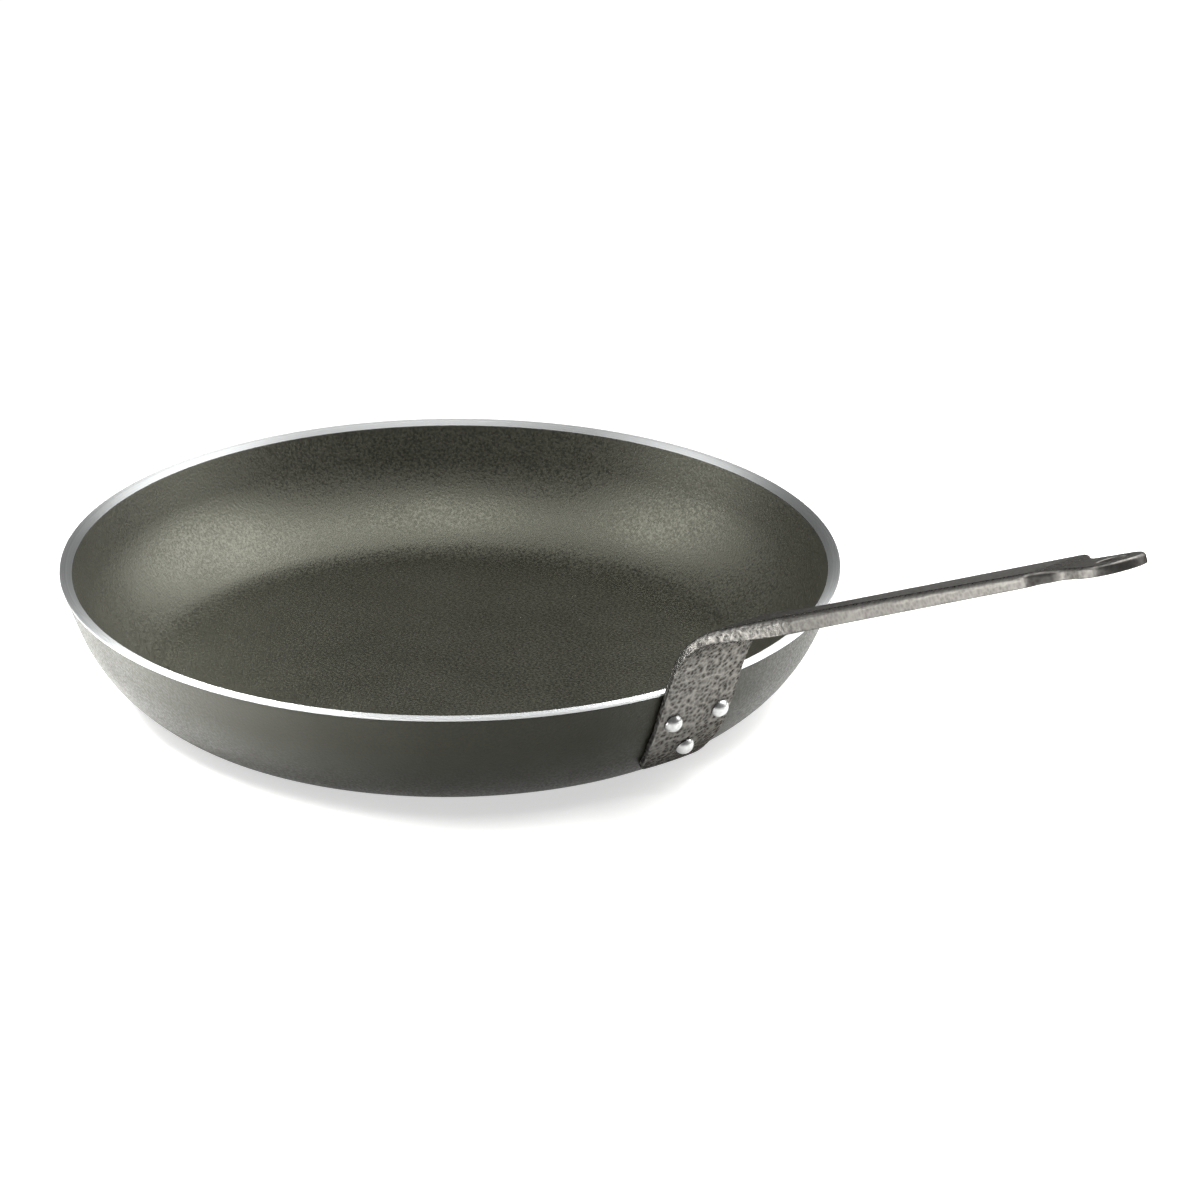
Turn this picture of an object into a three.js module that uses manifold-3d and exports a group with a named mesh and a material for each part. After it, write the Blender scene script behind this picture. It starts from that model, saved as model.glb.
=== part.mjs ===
// A professional frying pan: a pressed aluminium bowl with a non-stick lining, a grey coat outside
// and a bare turned rim, carrying a pressed sheet-steel handle on three rivets.
// Millimetres, +Z up. The origin is the middle of the base's underside and the handle runs along +X.

import * as THREE from 'three';
import { mergeVertices } from 'three/addons/utils/BufferGeometryUtils.js';
import Module from 'manifold-3d';

// Bowl
const rimDiameter = 320;
const panHeight = 52;
const wallThickness = 4.5;
const upperWallAngle = THREE.MathUtils.degToRad(69.4);
const upperWallLength = 16.4;
const heelRadius = 27.5;
const heelAngle = THREE.MathUtils.degToRad(33);
const rimBreak = 0.6;
const rimBevel = 1.5;
const bareLip = 1;

// Coats, drawn thicker than the real sprayed layers so that each is a solid
const liningThickness = 0.4;
const coatThickness = 0.4;
const coatStart = 4;
const bondGap = 0.1;

// Handle
const sheetThickness = 2.5;
const footClear = 13.3;
const plateWidth = 37.6;
const footWidth = 31;
const footTaper = 17;
const footCorner = 3;
const riseAboveRim = 14.5;
const bendRadius = 38;
const gripAngle = THREE.MathUtils.degToRad(24.7);
const gripLength = 195.6;
const neckRun = 38;
const neckWidth = 19;
const gripEndWidth = 32.5;
const neckDepth = 7.2;
const gripEndDepth = 5.4;
const dipLength = 6.5;
const dipTurn = THREE.MathUtils.degToRad(12);
const tailAngle = THREE.MathUtils.degToRad(22.7);
const shoulderToWaist = 14;
const waistWidth = 19;
const waistToEye = 20;
const eyeRadius = 12.5;
const eyeHoleDiameter = 13;
const tailDepth = 4.3;
const foldRadius = 3;
const edgeBreak = 0.4;

// Rivets
const rivetEdge = 7;
const upperRivetDrop = 15;
const lowerRivetRise = 12.7;
const shankDiameter = 5.2;
const headDiameter = 8;
const headHeight = 3.2;
const innerHeadDiameter = 9;
const innerHeadHeight = 1.5;

// Clearance between pieces that bear on each other or pass through each other
const fitGap = 0.3;

// Fineness of the round shapes
const turnSegments = 64;
const heelSteps = 4;
const sweepSteps = 5;
const rivetSegments = 20;
const domeSteps = 3;
const cornerSteps = 3;
const plateStep = 6;
const gripStep = 24;
const tailStep = 3;
const tipSteps = 8;
const foldSteps = 2;
const crossShares = [-1, -0.5, 0, 0.5, 1];

const wasm = await Module();
wasm.setup();

const smooth = (t) => THREE.MathUtils.smoothstep(t, 0, 1);
const mix = THREE.MathUtils.lerp;

// A closed geometry as a solid that can be cut.
function solidOf(geometry) {
  const bare = geometry.clone();
  bare.deleteAttribute('normal');
  bare.deleteAttribute('uv');
  const merged = mergeVertices(bare, 1e-4);
  return new wasm.Manifold(new wasm.Mesh({
    numProp: 3,
    vertProperties: new Float32Array(merged.attributes.position.array),
    triVerts: new Uint32Array(merged.index.array),
  }));
}

// The geometry with every cutter's shape taken out of it.
function cut(geometry, cutters) {
  let solid = solidOf(geometry);
  for (const cutter of cutters) {
    solid = solid.subtract(solidOf(cutter));
  }
  const { vertProperties, triVerts } = solid.getMesh();
  const result = new THREE.BufferGeometry();
  result.setAttribute('position', new THREE.BufferAttribute(vertProperties, 3));
  result.setIndex(new THREE.BufferAttribute(triVerts, 1));
  result.computeVertexNormals();
  return result;
}

// A side line is a run of stretches, each with a length and the angle that it turns through.
// This gives the point and the direction at a distance along it.
function follow(start, stretches, distance) {
  let { x, z, angle } = start;
  let left = distance;
  for (const { length, turn } of stretches) {
    const part = Math.min(left, length);
    const swing = turn * part / length;
    if (turn === 0) {
      x += part * Math.cos(angle);
      z += part * Math.sin(angle);
    } else {
      const radius = length / turn;
      x += radius * (Math.sin(angle + swing) - Math.sin(angle));
      z += radius * (Math.cos(angle) - Math.cos(angle + swing));
    }
    angle += swing;
    left -= part;
  }
  return { x, z, angle };
}

// The bowl's outside runs from the flat base round the heel, up a wide sweep and into a straight
// upper wall. The sweep takes up the height that the heel and the upper wall leave, and the base
// takes up the width.
const rimRadius = rimDiameter / 2;
const sweepTurn = upperWallAngle - heelAngle;
const wallTop = panHeight - rimBreak;
const heelRise = heelRadius * (1 - Math.cos(heelAngle));
const upperRise = upperWallLength * Math.sin(upperWallAngle);
const sweepRadius = (wallTop - heelRise - upperRise) / (Math.cos(heelAngle) - Math.cos(upperWallAngle));
const sweepReach = sweepRadius * (Math.sin(upperWallAngle) - Math.sin(heelAngle));
const upperReach = upperWallLength * Math.cos(upperWallAngle);
const baseRadius = rimRadius - upperReach - sweepReach - heelRadius * Math.sin(heelAngle);

const wallStart = { x: baseRadius, z: 0, angle: 0 };
const heel = { length: heelRadius * heelAngle, turn: heelAngle };
const sweep = { length: sweepRadius * sweepTurn, turn: sweepTurn };
const upperWall = { length: upperWallLength, turn: 0 };
const wall = [heel, sweep, upperWall];
const wallLength = heel.length + sweep.length + upperWall.length;

// A point of the bowl's section: a distance up the outside, then a depth into the wall.
function wallPoint(distance, depth) {
  const { x, z, angle } = follow(wallStart, wall, distance);
  return new THREE.Vector2(x - depth * Math.sin(angle), z + depth * Math.cos(angle));
}

// Points up the wall at one depth, between two distances, closer together on the round stretches.
function wallLine(from, to, depth) {
  const marks = [];
  for (let i = 1; i <= heelSteps; i += 1) {
    marks.push(heel.length * i / heelSteps);
  }
  for (let i = 1; i <= sweepSteps; i += 1) {
    marks.push(heel.length + sweep.length * i / sweepSteps);
  }
  const between = marks.filter((mark) => mark > from && mark < to);
  return [from, ...between, to].map((mark) => wallPoint(mark, depth));
}

// A turned piece from its section, which runs up the outside and down the inside.
function turned(section, segments) {
  return new THREE.LatheGeometry(section, segments).rotateX(Math.PI / 2);
}

// The inner face meets the level of the rim lower down the wall than the outer face does.
const innerDrop = wallThickness * Math.cos(upperWallAngle) - rimBreak;
const innerTop = wallLength - innerDrop / Math.sin(upperWallAngle);
const liningTop = innerTop - rimBevel;
const coatTop = wallLength - bareLip;
const liningSeat = wallThickness - liningThickness - bondGap;
const coatSeat = coatThickness + bondGap;

function bodySection() {
  return [
    new THREE.Vector2(0, 0),
    wallPoint(0, 0),
    wallPoint(coatStart, 0),
    ...wallLine(coatStart, coatTop, coatSeat),
    wallPoint(coatTop, 0),
    wallPoint(wallLength, 0),
    new THREE.Vector2(rimRadius - rimBreak, panHeight),
    new THREE.Vector2(wallPoint(innerTop, wallThickness).x + rimBevel, panHeight),
    wallPoint(liningTop, wallThickness),
    ...wallLine(0, liningTop, liningSeat).reverse(),
    new THREE.Vector2(0, liningSeat),
  ];
}

function liningSection() {
  const top = liningTop - bondGap;
  return [
    new THREE.Vector2(0, wallThickness - liningThickness),
    ...wallLine(0, top, wallThickness - liningThickness),
    ...wallLine(0, top, wallThickness).reverse(),
    new THREE.Vector2(0, wallThickness),
  ];
}

function coatSection() {
  const bottom = coatStart + bondGap;
  const top = coatTop - bondGap;
  const outside = wallLine(bottom, top, 0);
  return [...outside, ...wallLine(bottom, top, coatThickness).reverse(), outside[0]];
}

// The handle's plate starts a little above the heel. Rivets stand square to the wall: a pair below
// the rim, set in from the plate's edges, and one in the middle above the plate's foot.
const footDistance = heel.length + footClear;
const rivetPitch = plateWidth - 2 * rivetEdge;
const upperRivetDistance = wallLength - upperRivetDrop;
const lowerRivetDistance = footDistance + lowerRivetRise;
const rivetPlaces = [
  { name: 'rivet_upper_left', distance: upperRivetDistance, side: -rivetPitch / 2 },
  { name: 'rivet_upper_right', distance: upperRivetDistance, side: rivetPitch / 2 },
  { name: 'rivet_lower', distance: lowerRivetDistance, side: 0 },
];

// The round points of a domed head, from its edge to its crown, as a cap of a sphere.
function domeLine(diameter, height, seat, way) {
  const radius = diameter / 2;
  const ball = (radius ** 2 + height ** 2) / (2 * height);
  const reach = Math.atan2(radius, ball - height);
  const line = [];
  for (let i = 0; i <= domeSteps; i += 1) {
    const tilt = reach * (1 - i / domeSteps);
    const rise = ball * Math.cos(tilt) - ball + height;
    line.push(new THREE.Vector2(ball * Math.sin(tilt), seat + way * rise));
  }
  return line;
}

// One rivet, along its own +Z with the bowl's outside at zero.
function rivetGeometry() {
  const shankRadius = shankDiameter / 2;
  const hollowSag = (innerHeadDiameter / 2) ** 2 / (2 * sweepRadius);
  const innerSeat = -wallThickness - fitGap - hollowSag;
  const outerSeat = fitGap + sheetThickness + fitGap;
  const innerHead = domeLine(innerHeadDiameter, innerHeadHeight, innerSeat, -1).reverse();
  const outerHead = domeLine(headDiameter, headHeight, outerSeat, 1);
  return turned([
    ...innerHead,
    new THREE.Vector2(shankRadius, innerSeat),
    new THREE.Vector2(shankRadius, outerSeat),
    ...outerHead,
  ], rivetSegments);
}

// A group turned to a rivet's place round the bowl, holding the given mesh square to the wall.
function atRivet({ distance, side }, mesh) {
  const { x, z, angle } = follow(wallStart, wall, distance);
  const arm = new THREE.Group();
  arm.rotation.z = side / x;
  mesh.position.set(x, 0, z);
  mesh.rotation.y = Math.PI - angle;
  arm.add(mesh);
  arm.updateMatrixWorld(true);
  return arm;
}

// A round bar for cutting a hole, along +Z, reaching as far on either side of the origin.
function bar(diameter, reach) {
  const radius = diameter / 2;
  return new THREE.CylinderGeometry(radius, radius, 2 * reach, rivetSegments).rotateX(Math.PI / 2);
}

const rivetHoles = rivetPlaces.map((place) => {
  const throughBoth = wallThickness + 2 * fitGap + sheetThickness;
  const mesh = new THREE.Mesh(bar(shankDiameter + 2 * fitGap, throughBoth));
  atRivet(place, mesh);
  return mesh.geometry.applyMatrix4(mesh.matrixWorld);
});

// The handle is one strip of sheet. Its side line runs up the wall from the plate's foot, past the
// rim, over a bend and out along the grip, then dips at the shoulder to the eye. Stations are
// distances from the foot.
const bendTurn = upperWallAngle - gripAngle;
const rimStation = wallLength - footDistance;
const bendStation = rimStation + riseAboveRim;
const gripStation = bendStation + bendRadius * bendTurn;
const neckStation = gripStation + neckRun;
const shoulderStation = gripStation + gripLength;
const waistStation = shoulderStation + shoulderToWaist;
const eyeStation = waistStation + waistToEye;
const tipStation = eyeStation + eyeRadius;
const handleLine = [
  ...wall,
  { length: riseAboveRim, turn: 0 },
  { length: bendRadius * bendTurn, turn: -bendTurn },
  { length: gripLength, turn: 0 },
  { length: dipLength, turn: -dipTurn },
  { length: dipLength, turn: tailAngle - gripAngle + dipTurn },
  { length: tipStation - shoulderStation - 2 * dipLength, turn: 0 },
];

const handleAt = (station) => follow(wallStart, handleLine, footDistance + station);

// Where a point of the flat strip lies once the strip is bent to shape: across is its place from
// the middle line, and deep is how far it lies below the face that touches the bowl. On the wall
// the strip is curved round the bowl, and it flattens out over the bend.
function bent(station, across, deep) {
  const { x, z, angle } = handleAt(station);
  const out = fitGap + deep;
  const radius = x + out * Math.sin(angle);
  const height = z - out * Math.cos(angle);
  const flat = smooth((station - rimStation) / (gripStation - rimStation));
  const curve = (1 - flat) / radius;
  if (curve === 0) {
    return [radius, across, height];
  }
  return [radius - (1 - Math.cos(curve * across)) / curve, Math.sin(curve * across) / curve, height];
}

// Half the strip's width: a tapered foot, a broad plate, a narrow neck, a grip that widens outwards,
// a waist and a round eye.
function halfWidth(station) {
  if (station >= eyeStation) {
    return Math.sqrt(Math.max(eyeRadius ** 2 - (station - eyeStation) ** 2, 0));
  }
  if (station >= waistStation) {
    return mix(waistWidth / 2, eyeRadius, smooth((station - waistStation) / waistToEye));
  }
  if (station >= shoulderStation) {
    return mix(gripEndWidth, waistWidth, smooth((station - shoulderStation) / shoulderToWaist)) / 2;
  }
  if (station >= neckStation) {
    return mix(neckWidth, gripEndWidth, (station - neckStation) / (shoulderStation - neckStation)) / 2;
  }
  if (station >= bendStation) {
    return mix(plateWidth, neckWidth, smooth((station - bendStation) / (neckStation - bendStation))) / 2;
  }
  const side = mix(footWidth, plateWidth, Math.min(station / footTaper, 1)) / 2;
  const shortfall = Math.max(footCorner - station, 0);
  return side - footCorner + Math.sqrt(footCorner ** 2 - shortfall ** 2);
}

// How deep the strip is over its turned-down edges. The edges start to turn at the rim.
function depth(station) {
  if (station >= shoulderStation) {
    return mix(gripEndDepth, tailDepth, smooth((station - shoulderStation) / shoulderToWaist));
  }
  if (station >= neckStation) {
    return mix(neckDepth, gripEndDepth, (station - neckStation) / (shoulderStation - neckStation));
  }
  return mix(sheetThickness, neckDepth, smooth((station - rimStation) / (neckStation - rimStation)));
}

// Stations from one to another, evenly spaced and no further apart than the step.
function spaced(from, to, step) {
  const count = Math.ceil((to - from) / step);
  return Array.from({ length: count }, (_, i) => from + (to - from) * i / count);
}

// Stations round an end of the given radius, closing in on its tip but stopping short of it.
function roundEnd(radius) {
  const turnTo = (i) => Math.PI / 2 * i / tipSteps;
  return Array.from({ length: tipSteps }, (_, i) => eyeStation + radius * Math.sin(turnTo(i)));
}

// A closed slab of the bent strip between an upper and a lower row of points at each station.
function slab(stations, upperRow, lowerRow) {
  const count = upperRow(stations[0]).length;
  const points = [];
  for (const station of stations) {
    for (const [across, deep] of [...upperRow(station), ...lowerRow(station)]) {
      points.push(...bent(station, across, deep));
    }
  }
  const upper = (i, j) => i * 2 * count + j;
  const lower = (i, j) => upper(i, j) + count;
  const faces = [];
  const quad = (a, b, c, d) => faces.push(a, b, c, a, c, d);
  const last = stations.length - 1;
  const edge = count - 1;
  for (let i = 0; i < last; i += 1) {
    for (let j = 0; j < edge; j += 1) {
      quad(upper(i, j), upper(i + 1, j), upper(i + 1, j + 1), upper(i, j + 1));
      quad(lower(i, j), lower(i, j + 1), lower(i + 1, j + 1), lower(i + 1, j));
    }
    quad(upper(i, 0), lower(i, 0), lower(i + 1, 0), upper(i + 1, 0));
    quad(upper(i, edge), upper(i + 1, edge), lower(i + 1, edge), lower(i, edge));
  }
  for (let j = 0; j < edge; j += 1) {
    quad(upper(0, j), upper(0, j + 1), lower(0, j + 1), lower(0, j));
    quad(upper(last, j), lower(last, j), lower(last, j + 1), upper(last, j + 1));
  }
  const geometry = new THREE.BufferGeometry();
  geometry.setAttribute('position', new THREE.Float32BufferAttribute(points, 3));
  geometry.setIndex(faces);
  return geometry;
}

// Across the strip: a rounded edge, then even steps over to the other rounded edge.
function outerRow(station) {
  const half = halfWidth(station);
  const turnedDown = (depth(station) - sheetThickness) / (neckDepth - sheetThickness);
  const round = Math.min(mix(edgeBreak, foldRadius, Math.min(turnedDown, 1)), half / 2);
  const flat = half - round;
  const edge = [];
  for (let i = 0; i < foldSteps; i += 1) {
    const tilt = Math.PI / 2 * i / foldSteps;
    edge.push([flat + round * Math.cos(tilt), round - round * Math.sin(tilt)]);
  }
  const left = edge.map(([across, deep]) => [-across, deep]);
  const middle = crossShares.map((share) => [share * flat, 0]);
  const right = edge.reverse();
  return [...left, ...middle, ...right];
}

function handleGeometry() {
  const alongGrip = spaced(neckStation, shoulderStation, gripStep);
  const alongTail = spaced(shoulderStation, eyeStation, tailStep);
  const outerStations = [
    ...spaced(0, footCorner, footCorner / cornerSteps),
    ...spaced(footCorner, footTaper, plateStep),
    ...spaced(footTaper, neckStation, plateStep),
    ...alongGrip,
    ...alongTail,
    ...roundEnd(eyeRadius),
  ];
  const strip = slab(
    outerStations,
    outerRow,
    (station) => outerRow(station).map(([across]) => [across, depth(station)]),
  );

  // The channel under the grip lies between the turned-down edges, from where they first stand out.
  const inside = (station) => {
    if (station < eyeStation) {
      return halfWidth(station) - sheetThickness;
    }
    return Math.sqrt((eyeRadius - sheetThickness) ** 2 - (station - eyeStation) ** 2);
  };
  const row = (deep) => (station) => crossShares.map((share) => [share * inside(station), deep(station)]);
  const channelStations = [
    ...spaced(bendStation, neckStation, plateStep),
    ...alongGrip,
    ...alongTail,
    ...roundEnd(eyeRadius - sheetThickness),
  ];
  const channel = slab(
    channelStations,
    row(() => sheetThickness),
    row((station) => depth(station) + sheetThickness),
  );

  const eye = handleAt(eyeStation);
  const throughSheet = 2 * (fitGap + sheetThickness);
  const eyeHole = bar(eyeHoleDiameter, throughSheet);
  eyeHole.rotateY(Math.PI - eye.angle).translate(eye.x, 0, eye.z);
  return cut(strip, [channel, eyeHole, ...rivetHoles]);
}

function finish(colour, roughness, metalness) {
  return new THREE.MeshStandardMaterial({ color: colour, roughness, metalness });
}

function piece(name, geometry, material) {
  const mesh = new THREE.Mesh(geometry, material);
  mesh.name = name;
  return mesh;
}

const bareAluminium = finish('#c9cccd', 0.35, 1);
const nonStick = finish('#45463f', 0.55, 0);
const greyCoat = finish('#5c5c55', 0.5, 0);
const hammeredPaint = finish('#85837e', 0.5, 0.3);
const rivetAluminium = finish('#d8dadb', 0.25, 1);

const pan = new THREE.Group();
pan.add(piece('pan_body', cut(turned(bodySection(), turnSegments), rivetHoles), bareAluminium));
pan.add(piece('nonstick_lining', cut(turned(liningSection(), turnSegments), rivetHoles), nonStick));
pan.add(piece('outer_coat', cut(turned(coatSection(), turnSegments), rivetHoles), greyCoat));
pan.add(piece('handle', handleGeometry(), hammeredPaint));
for (const place of rivetPlaces) {
  pan.add(atRivet(place, piece(place.name, rivetGeometry(), rivetAluminium)));
}

export default pan;
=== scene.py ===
"""Dresses a riveted frying pan: fine turned and pressed surfaces, its finishes and a small studio."""

import math
from types import SimpleNamespace

import bmesh
import bpy
import numpy as np
from bpy.props import FloatProperty, FloatVectorProperty, PointerProperty
from mathutils import Matrix, Vector


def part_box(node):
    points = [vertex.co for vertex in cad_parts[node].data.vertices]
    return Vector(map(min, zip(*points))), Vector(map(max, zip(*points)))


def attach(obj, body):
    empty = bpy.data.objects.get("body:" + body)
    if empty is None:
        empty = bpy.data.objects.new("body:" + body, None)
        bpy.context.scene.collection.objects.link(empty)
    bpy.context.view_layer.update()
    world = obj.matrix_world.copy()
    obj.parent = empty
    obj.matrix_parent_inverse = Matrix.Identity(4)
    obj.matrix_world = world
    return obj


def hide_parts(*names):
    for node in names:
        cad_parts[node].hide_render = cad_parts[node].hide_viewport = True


bl_info = {
    "name": "Riveted Frying Pan",
    "version": (1, 0, 0),
    "blender": (4, 5, 0),
    "location": "3D View > Sidebar > Frying Pan",
    "description": "Makes the surfaces, the finishes and the studio of a riveted frying pan",
    "category": "Add Mesh",
}

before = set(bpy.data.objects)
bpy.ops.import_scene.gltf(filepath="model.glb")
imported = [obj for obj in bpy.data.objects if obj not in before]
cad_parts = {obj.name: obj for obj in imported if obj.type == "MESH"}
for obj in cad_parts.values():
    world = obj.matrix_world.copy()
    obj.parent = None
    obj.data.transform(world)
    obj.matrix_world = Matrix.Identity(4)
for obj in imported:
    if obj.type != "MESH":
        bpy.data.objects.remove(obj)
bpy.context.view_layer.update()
bowl_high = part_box("pan_body")[1]

MM = 0.001

# How finely the surfaces are drawn.
TURN_STEPS = 288
RIVET_STEPS = 48
DISC_ROWS = 14
WALL_STEP = 1.2 * MM
OUTLINE_STEP = 1.0 * MM
ARC_STEPS = 7
FLAT_STEPS = 4
SUPPORT_SHARES = np.array([0.0, 0.22, 0.44, 0.66, 0.86, 0.97])
WELD = 0.002 * MM
SHARP_ANGLE = math.radians(50)
FOOT_STEPS = 12

# Points of the handle's outline belong to its eye up to this turn from the tip, seen from the eye's middle.
EYE_TURN = math.radians(133)

# Sizes of the patterns in the finishes. The docstrings say which are coarser than real ones.
COAT_GRAIN = 1.1 * MM
COAT_GRAIN_DEPTH = 0.1 * MM
COAT_CLOUD = 30 * MM
TURNING_MARK = 0.7 * MM
TURNING_DEPTH = 0.04 * MM
PAINT_PIT = 1.9 * MM
PAINT_PIT_DEPTH = 0.14 * MM
PAINT_WARP = 7 * MM
PAINT_SHIFT = 2.0 * MM
PAINT_MOTTLE = 0.8 * MM
# Reaches along X: the pits and their painted shade are full up to the first, on the plate, and faded from
# the second, along the grip.
PITS_AND_PAINTED_SHADE_FULL_TO = 185 * MM
PITS_AND_PAINTED_SHADE_FADED_FROM = 235 * MM
RIVET_DENT = 2 * MM
RIVET_DENT_DEPTH = 0.05 * MM

# Sizes of the studio, in metres.
FLOOR_HALF = 8.0
LAMP_REACH = 1.2
WASH_WIDTH = 0.3
WASH_LENGTH = 0.4
WASH_HEIGHT = 0.4
WASH_SPREAD = math.radians(80)


def linear(code):
    """An sRGB hex colour as linear red, green and blue."""
    levels = [int(code[i:i + 2], 16) / 255 for i in (0, 2, 4)]
    return tuple(v / 12.92 if v <= 0.04045 else ((v + 0.055) / 1.055) ** 2.4 for v in levels)


def distance(name, description, default):
    """A length that a user can set, in metres."""
    return FloatProperty(
        name=name, description=description, default=default,
        min=0, precision=5, subtype="DISTANCE", unit="LENGTH",
    )


def angle(name, description, degrees):
    """An angle that a user can set, in radians."""
    return FloatProperty(
        name=name, description=description, default=math.radians(degrees), subtype="ANGLE", unit="ROTATION"
    )


def colour(name, description, code):
    """A colour that a user can set, from its sRGB hex value."""
    return FloatVectorProperty(
        name=name, description=description, default=linear(code), size=3, min=0, max=1, subtype="COLOR"
    )


def power(name, description, watts):
    """A lamp's power that a user can set."""
    return FloatProperty(
        name=name, description=description, default=watts, min=0, subtype="POWER", unit="POWER"
    )


class BowlSettings(bpy.types.PropertyGroup):
    """Sizes and colours of the bowl and its two coats."""

    rim_diameter: distance("Rim Diameter", "Across the outside of the rim", 2 * bowl_high.x)
    height: distance("Height", "From the base to the rim", bowl_high.z)
    wall_thickness: distance("Wall Thickness", "Of the pressed metal with its coats", 4.5 * MM)
    upper_wall_angle: angle("Upper Wall Angle", "Of the straight upper wall, from level", 69.4)
    upper_wall_length: distance("Upper Wall Length", "Of the straight upper wall", 16.4 * MM)
    heel_radius: distance("Heel Radius", "Where the base turns up into the wall", 27.5 * MM)
    heel_angle: angle("Heel Angle", "That the heel turns through before the wide sweep", 33)
    rim_break: distance("Rim Break", "Rounding of the rim's outer edge", 0.6 * MM)
    rim_bevel: distance("Rim Bevel", "Turned slope on the rim's inner edge", 1.5 * MM)
    bare_lip: distance("Bare Lip", "Bare metal below the rim on the outside", 1.0 * MM)
    lining_thickness: distance("Lining Thickness", "Of the drawn non-stick lining", 0.4 * MM)
    coat_thickness: distance("Coat Thickness", "Of the drawn outer coat", 0.4 * MM)
    coat_start: distance("Coat Start", "From the base's edge, along the heel, to the outer coat", 4.0 * MM)
    bond_gap: distance("Bond Gap", "Between a drawn coat and the metal", 0.1 * MM)
    metal_colour: colour("Metal", "Bare turned aluminium", "e6e8e8")
    lining_colour: colour("Lining", "Non-stick lining", "0e0e0a")
    lining_fleck_colour: colour("Lining Flecks", "Pale flecks in the lining", "1f1f18")
    coat_colour: colour("Outer Coat", "Grey coat on the outside", "0a0a07")
    coat_fleck_colour: colour("Outer Coat Flecks", "Pale flecks in the outer coat", "1e1e17")


class HandleSettings(bpy.types.PropertyGroup):
    """Sizes and colours of the pressed handle."""

    sheet_thickness: distance("Sheet Thickness", "Of the pressed steel", 2.5 * MM)
    fit_gap: distance("Fit Gap", "Between the plate and the bowl", 0.3 * MM)
    foot_clear: distance("Foot Clear", "From the heel's end, along the wall, to the plate's foot", 13.3 * MM)
    plate_width: distance("Plate Width", "Of the riveted plate", 37.6 * MM)
    foot_width: distance("Foot Width", "Of the plate's lower end", 31.0 * MM)
    foot_taper: distance("Foot Taper", "Length over which the foot widens to the plate", 17.0 * MM)
    foot_corner: distance("Foot Corner", "Radius of the foot's corners", 3.0 * MM)
    rise_above_rim: distance("Rise", "From the rim to the start of the bend", 14.5 * MM)
    bend_radius: distance("Bend Radius", "Where the plate turns out into the grip", 38.0 * MM)
    grip_angle: angle("Grip Angle", "Of the grip above level", 24.7)
    grip_length: distance("Grip Length", "From the bend to the shoulder", 195.6 * MM)
    neck_run: distance("Neck Run", "From the bend to the narrowest place of the neck", 38.0 * MM)
    neck_width: distance("Neck Width", "At the narrowest place of the neck", 19.0 * MM)
    grip_end_width: distance("Grip End Width", "At the shoulder", 32.5 * MM)
    neck_depth: distance("Neck Depth", "Over the turned-down edges at the neck", 7.2 * MM)
    grip_end_depth: distance("Grip End Depth", "Over the turned-down edges at the shoulder", 5.4 * MM)
    dip_length: distance("Dip Length", "Of each of the two arcs that dip at the shoulder", 6.5 * MM)
    dip_turn: angle("Dip Turn", "That the first of them turns down through", 12)
    tail_angle: angle("Tail Angle", "Of the eye above level", 22.7)
    shoulder_to_waist: distance("Shoulder to Waist", "Along the handle", 14.0 * MM)
    waist_width: distance("Waist Width", "At the narrowest place before the eye", 19.0 * MM)
    waist_to_eye: distance("Waist to Eye", "Along the handle, to the eye's middle", 20.0 * MM)
    eye_radius: distance("Eye Radius", "Of the round end", 12.5 * MM)
    eye_hole_diameter: distance("Eye Hole Diameter", "Of the hanging hole", 13.0 * MM)
    tail_depth: distance("Tail Depth", "Over the turned-down edges at the eye", 4.3 * MM)
    fold_radius: distance("Fold Radius", "Outside the turned-down edges", 3.0 * MM)
    fold_hollow: distance("Fold Hollow", "Inside the turned-down edges", 0.6 * MM)
    edge_break: distance("Edge Break", "Rounding of the sheared edges", 0.4 * MM)
    # The ridge colour is the paint's grey with painted light on the ridges; the pit colour is painted shade
    # in the pits.
    paint_and_ridge_light_colour: colour("Paint", "Ridges of the hammered enamel", "84827e")
    pit_shade_colour: colour("Pits", "Pits of the hammered enamel", "444240")


class RivetSettings(bpy.types.PropertyGroup):
    """Sizes and colours of the three rivets."""

    edge: distance("Edge", "From the plate's edge to the upper rivets", 7.0 * MM)
    upper_drop: distance("Upper Drop", "From the rim, along the wall, to the upper rivets", 15.0 * MM)
    lower_rise: distance("Lower Rise", "From the plate's foot to the lower rivet", 12.7 * MM)
    shank_diameter: distance("Shank Diameter", "Through the wall", 5.2 * MM)
    head_diameter: distance("Head Diameter", "Of the domed heads outside", 8.0 * MM)
    head_height: distance("Head Height", "Of the domed heads outside", 3.2 * MM)
    inner_head_diameter: distance("Inner Head Diameter", "Of the flat heads inside", 9.0 * MM)
    inner_head_height: distance("Inner Head Height", "Of the flat heads inside", 1.5 * MM)
    metal_colour: colour("Metal", "Bright upset aluminium", "c8c9c8")


class StageSettings(bpy.types.PropertyGroup):
    """The camera, the lamps and the floor."""

    view_azimuth: angle("View Azimuth", "Of the camera round the bowl's axis", 50.6)
    view_elevation: angle("View Elevation", "Of the camera above level", 22.87)
    view_distance: distance("View Distance", "From the camera to the bowl's middle", 3284.25 * MM)
    view_height: distance("View Height", "Of the point on the bowl's axis that the view is set by", 40 * MM)
    lens: FloatProperty(name="Lens", description="Focal length in millimetres", default=240, min=1)
    left_power: power("Left Lamp", "Of the soft box on the left", 9)
    right_power: power("Right Lamp", "Of the soft box on the right", 14.5)
    top_power: power("Top Lamp", "Of the soft box overhead", 7)
    left_wash_power: power("Left Floor Lamp", "Of the soft box over the floor on the left", 11)
    right_wash_power: power("Right Floor Lamp", "Of the soft box over the floor on the right", 2.2)
    ambient: FloatProperty(name="Ambient", description="Level light from all round", default=0.09, min=0)
    floor_colour: colour("Floor", "Pale studio floor", "d2d2d0")
    floor_lift: FloatProperty(
        name="Floor Lift", description="Extra white of the floor as seen", default=0.6, min=0
    )


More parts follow.
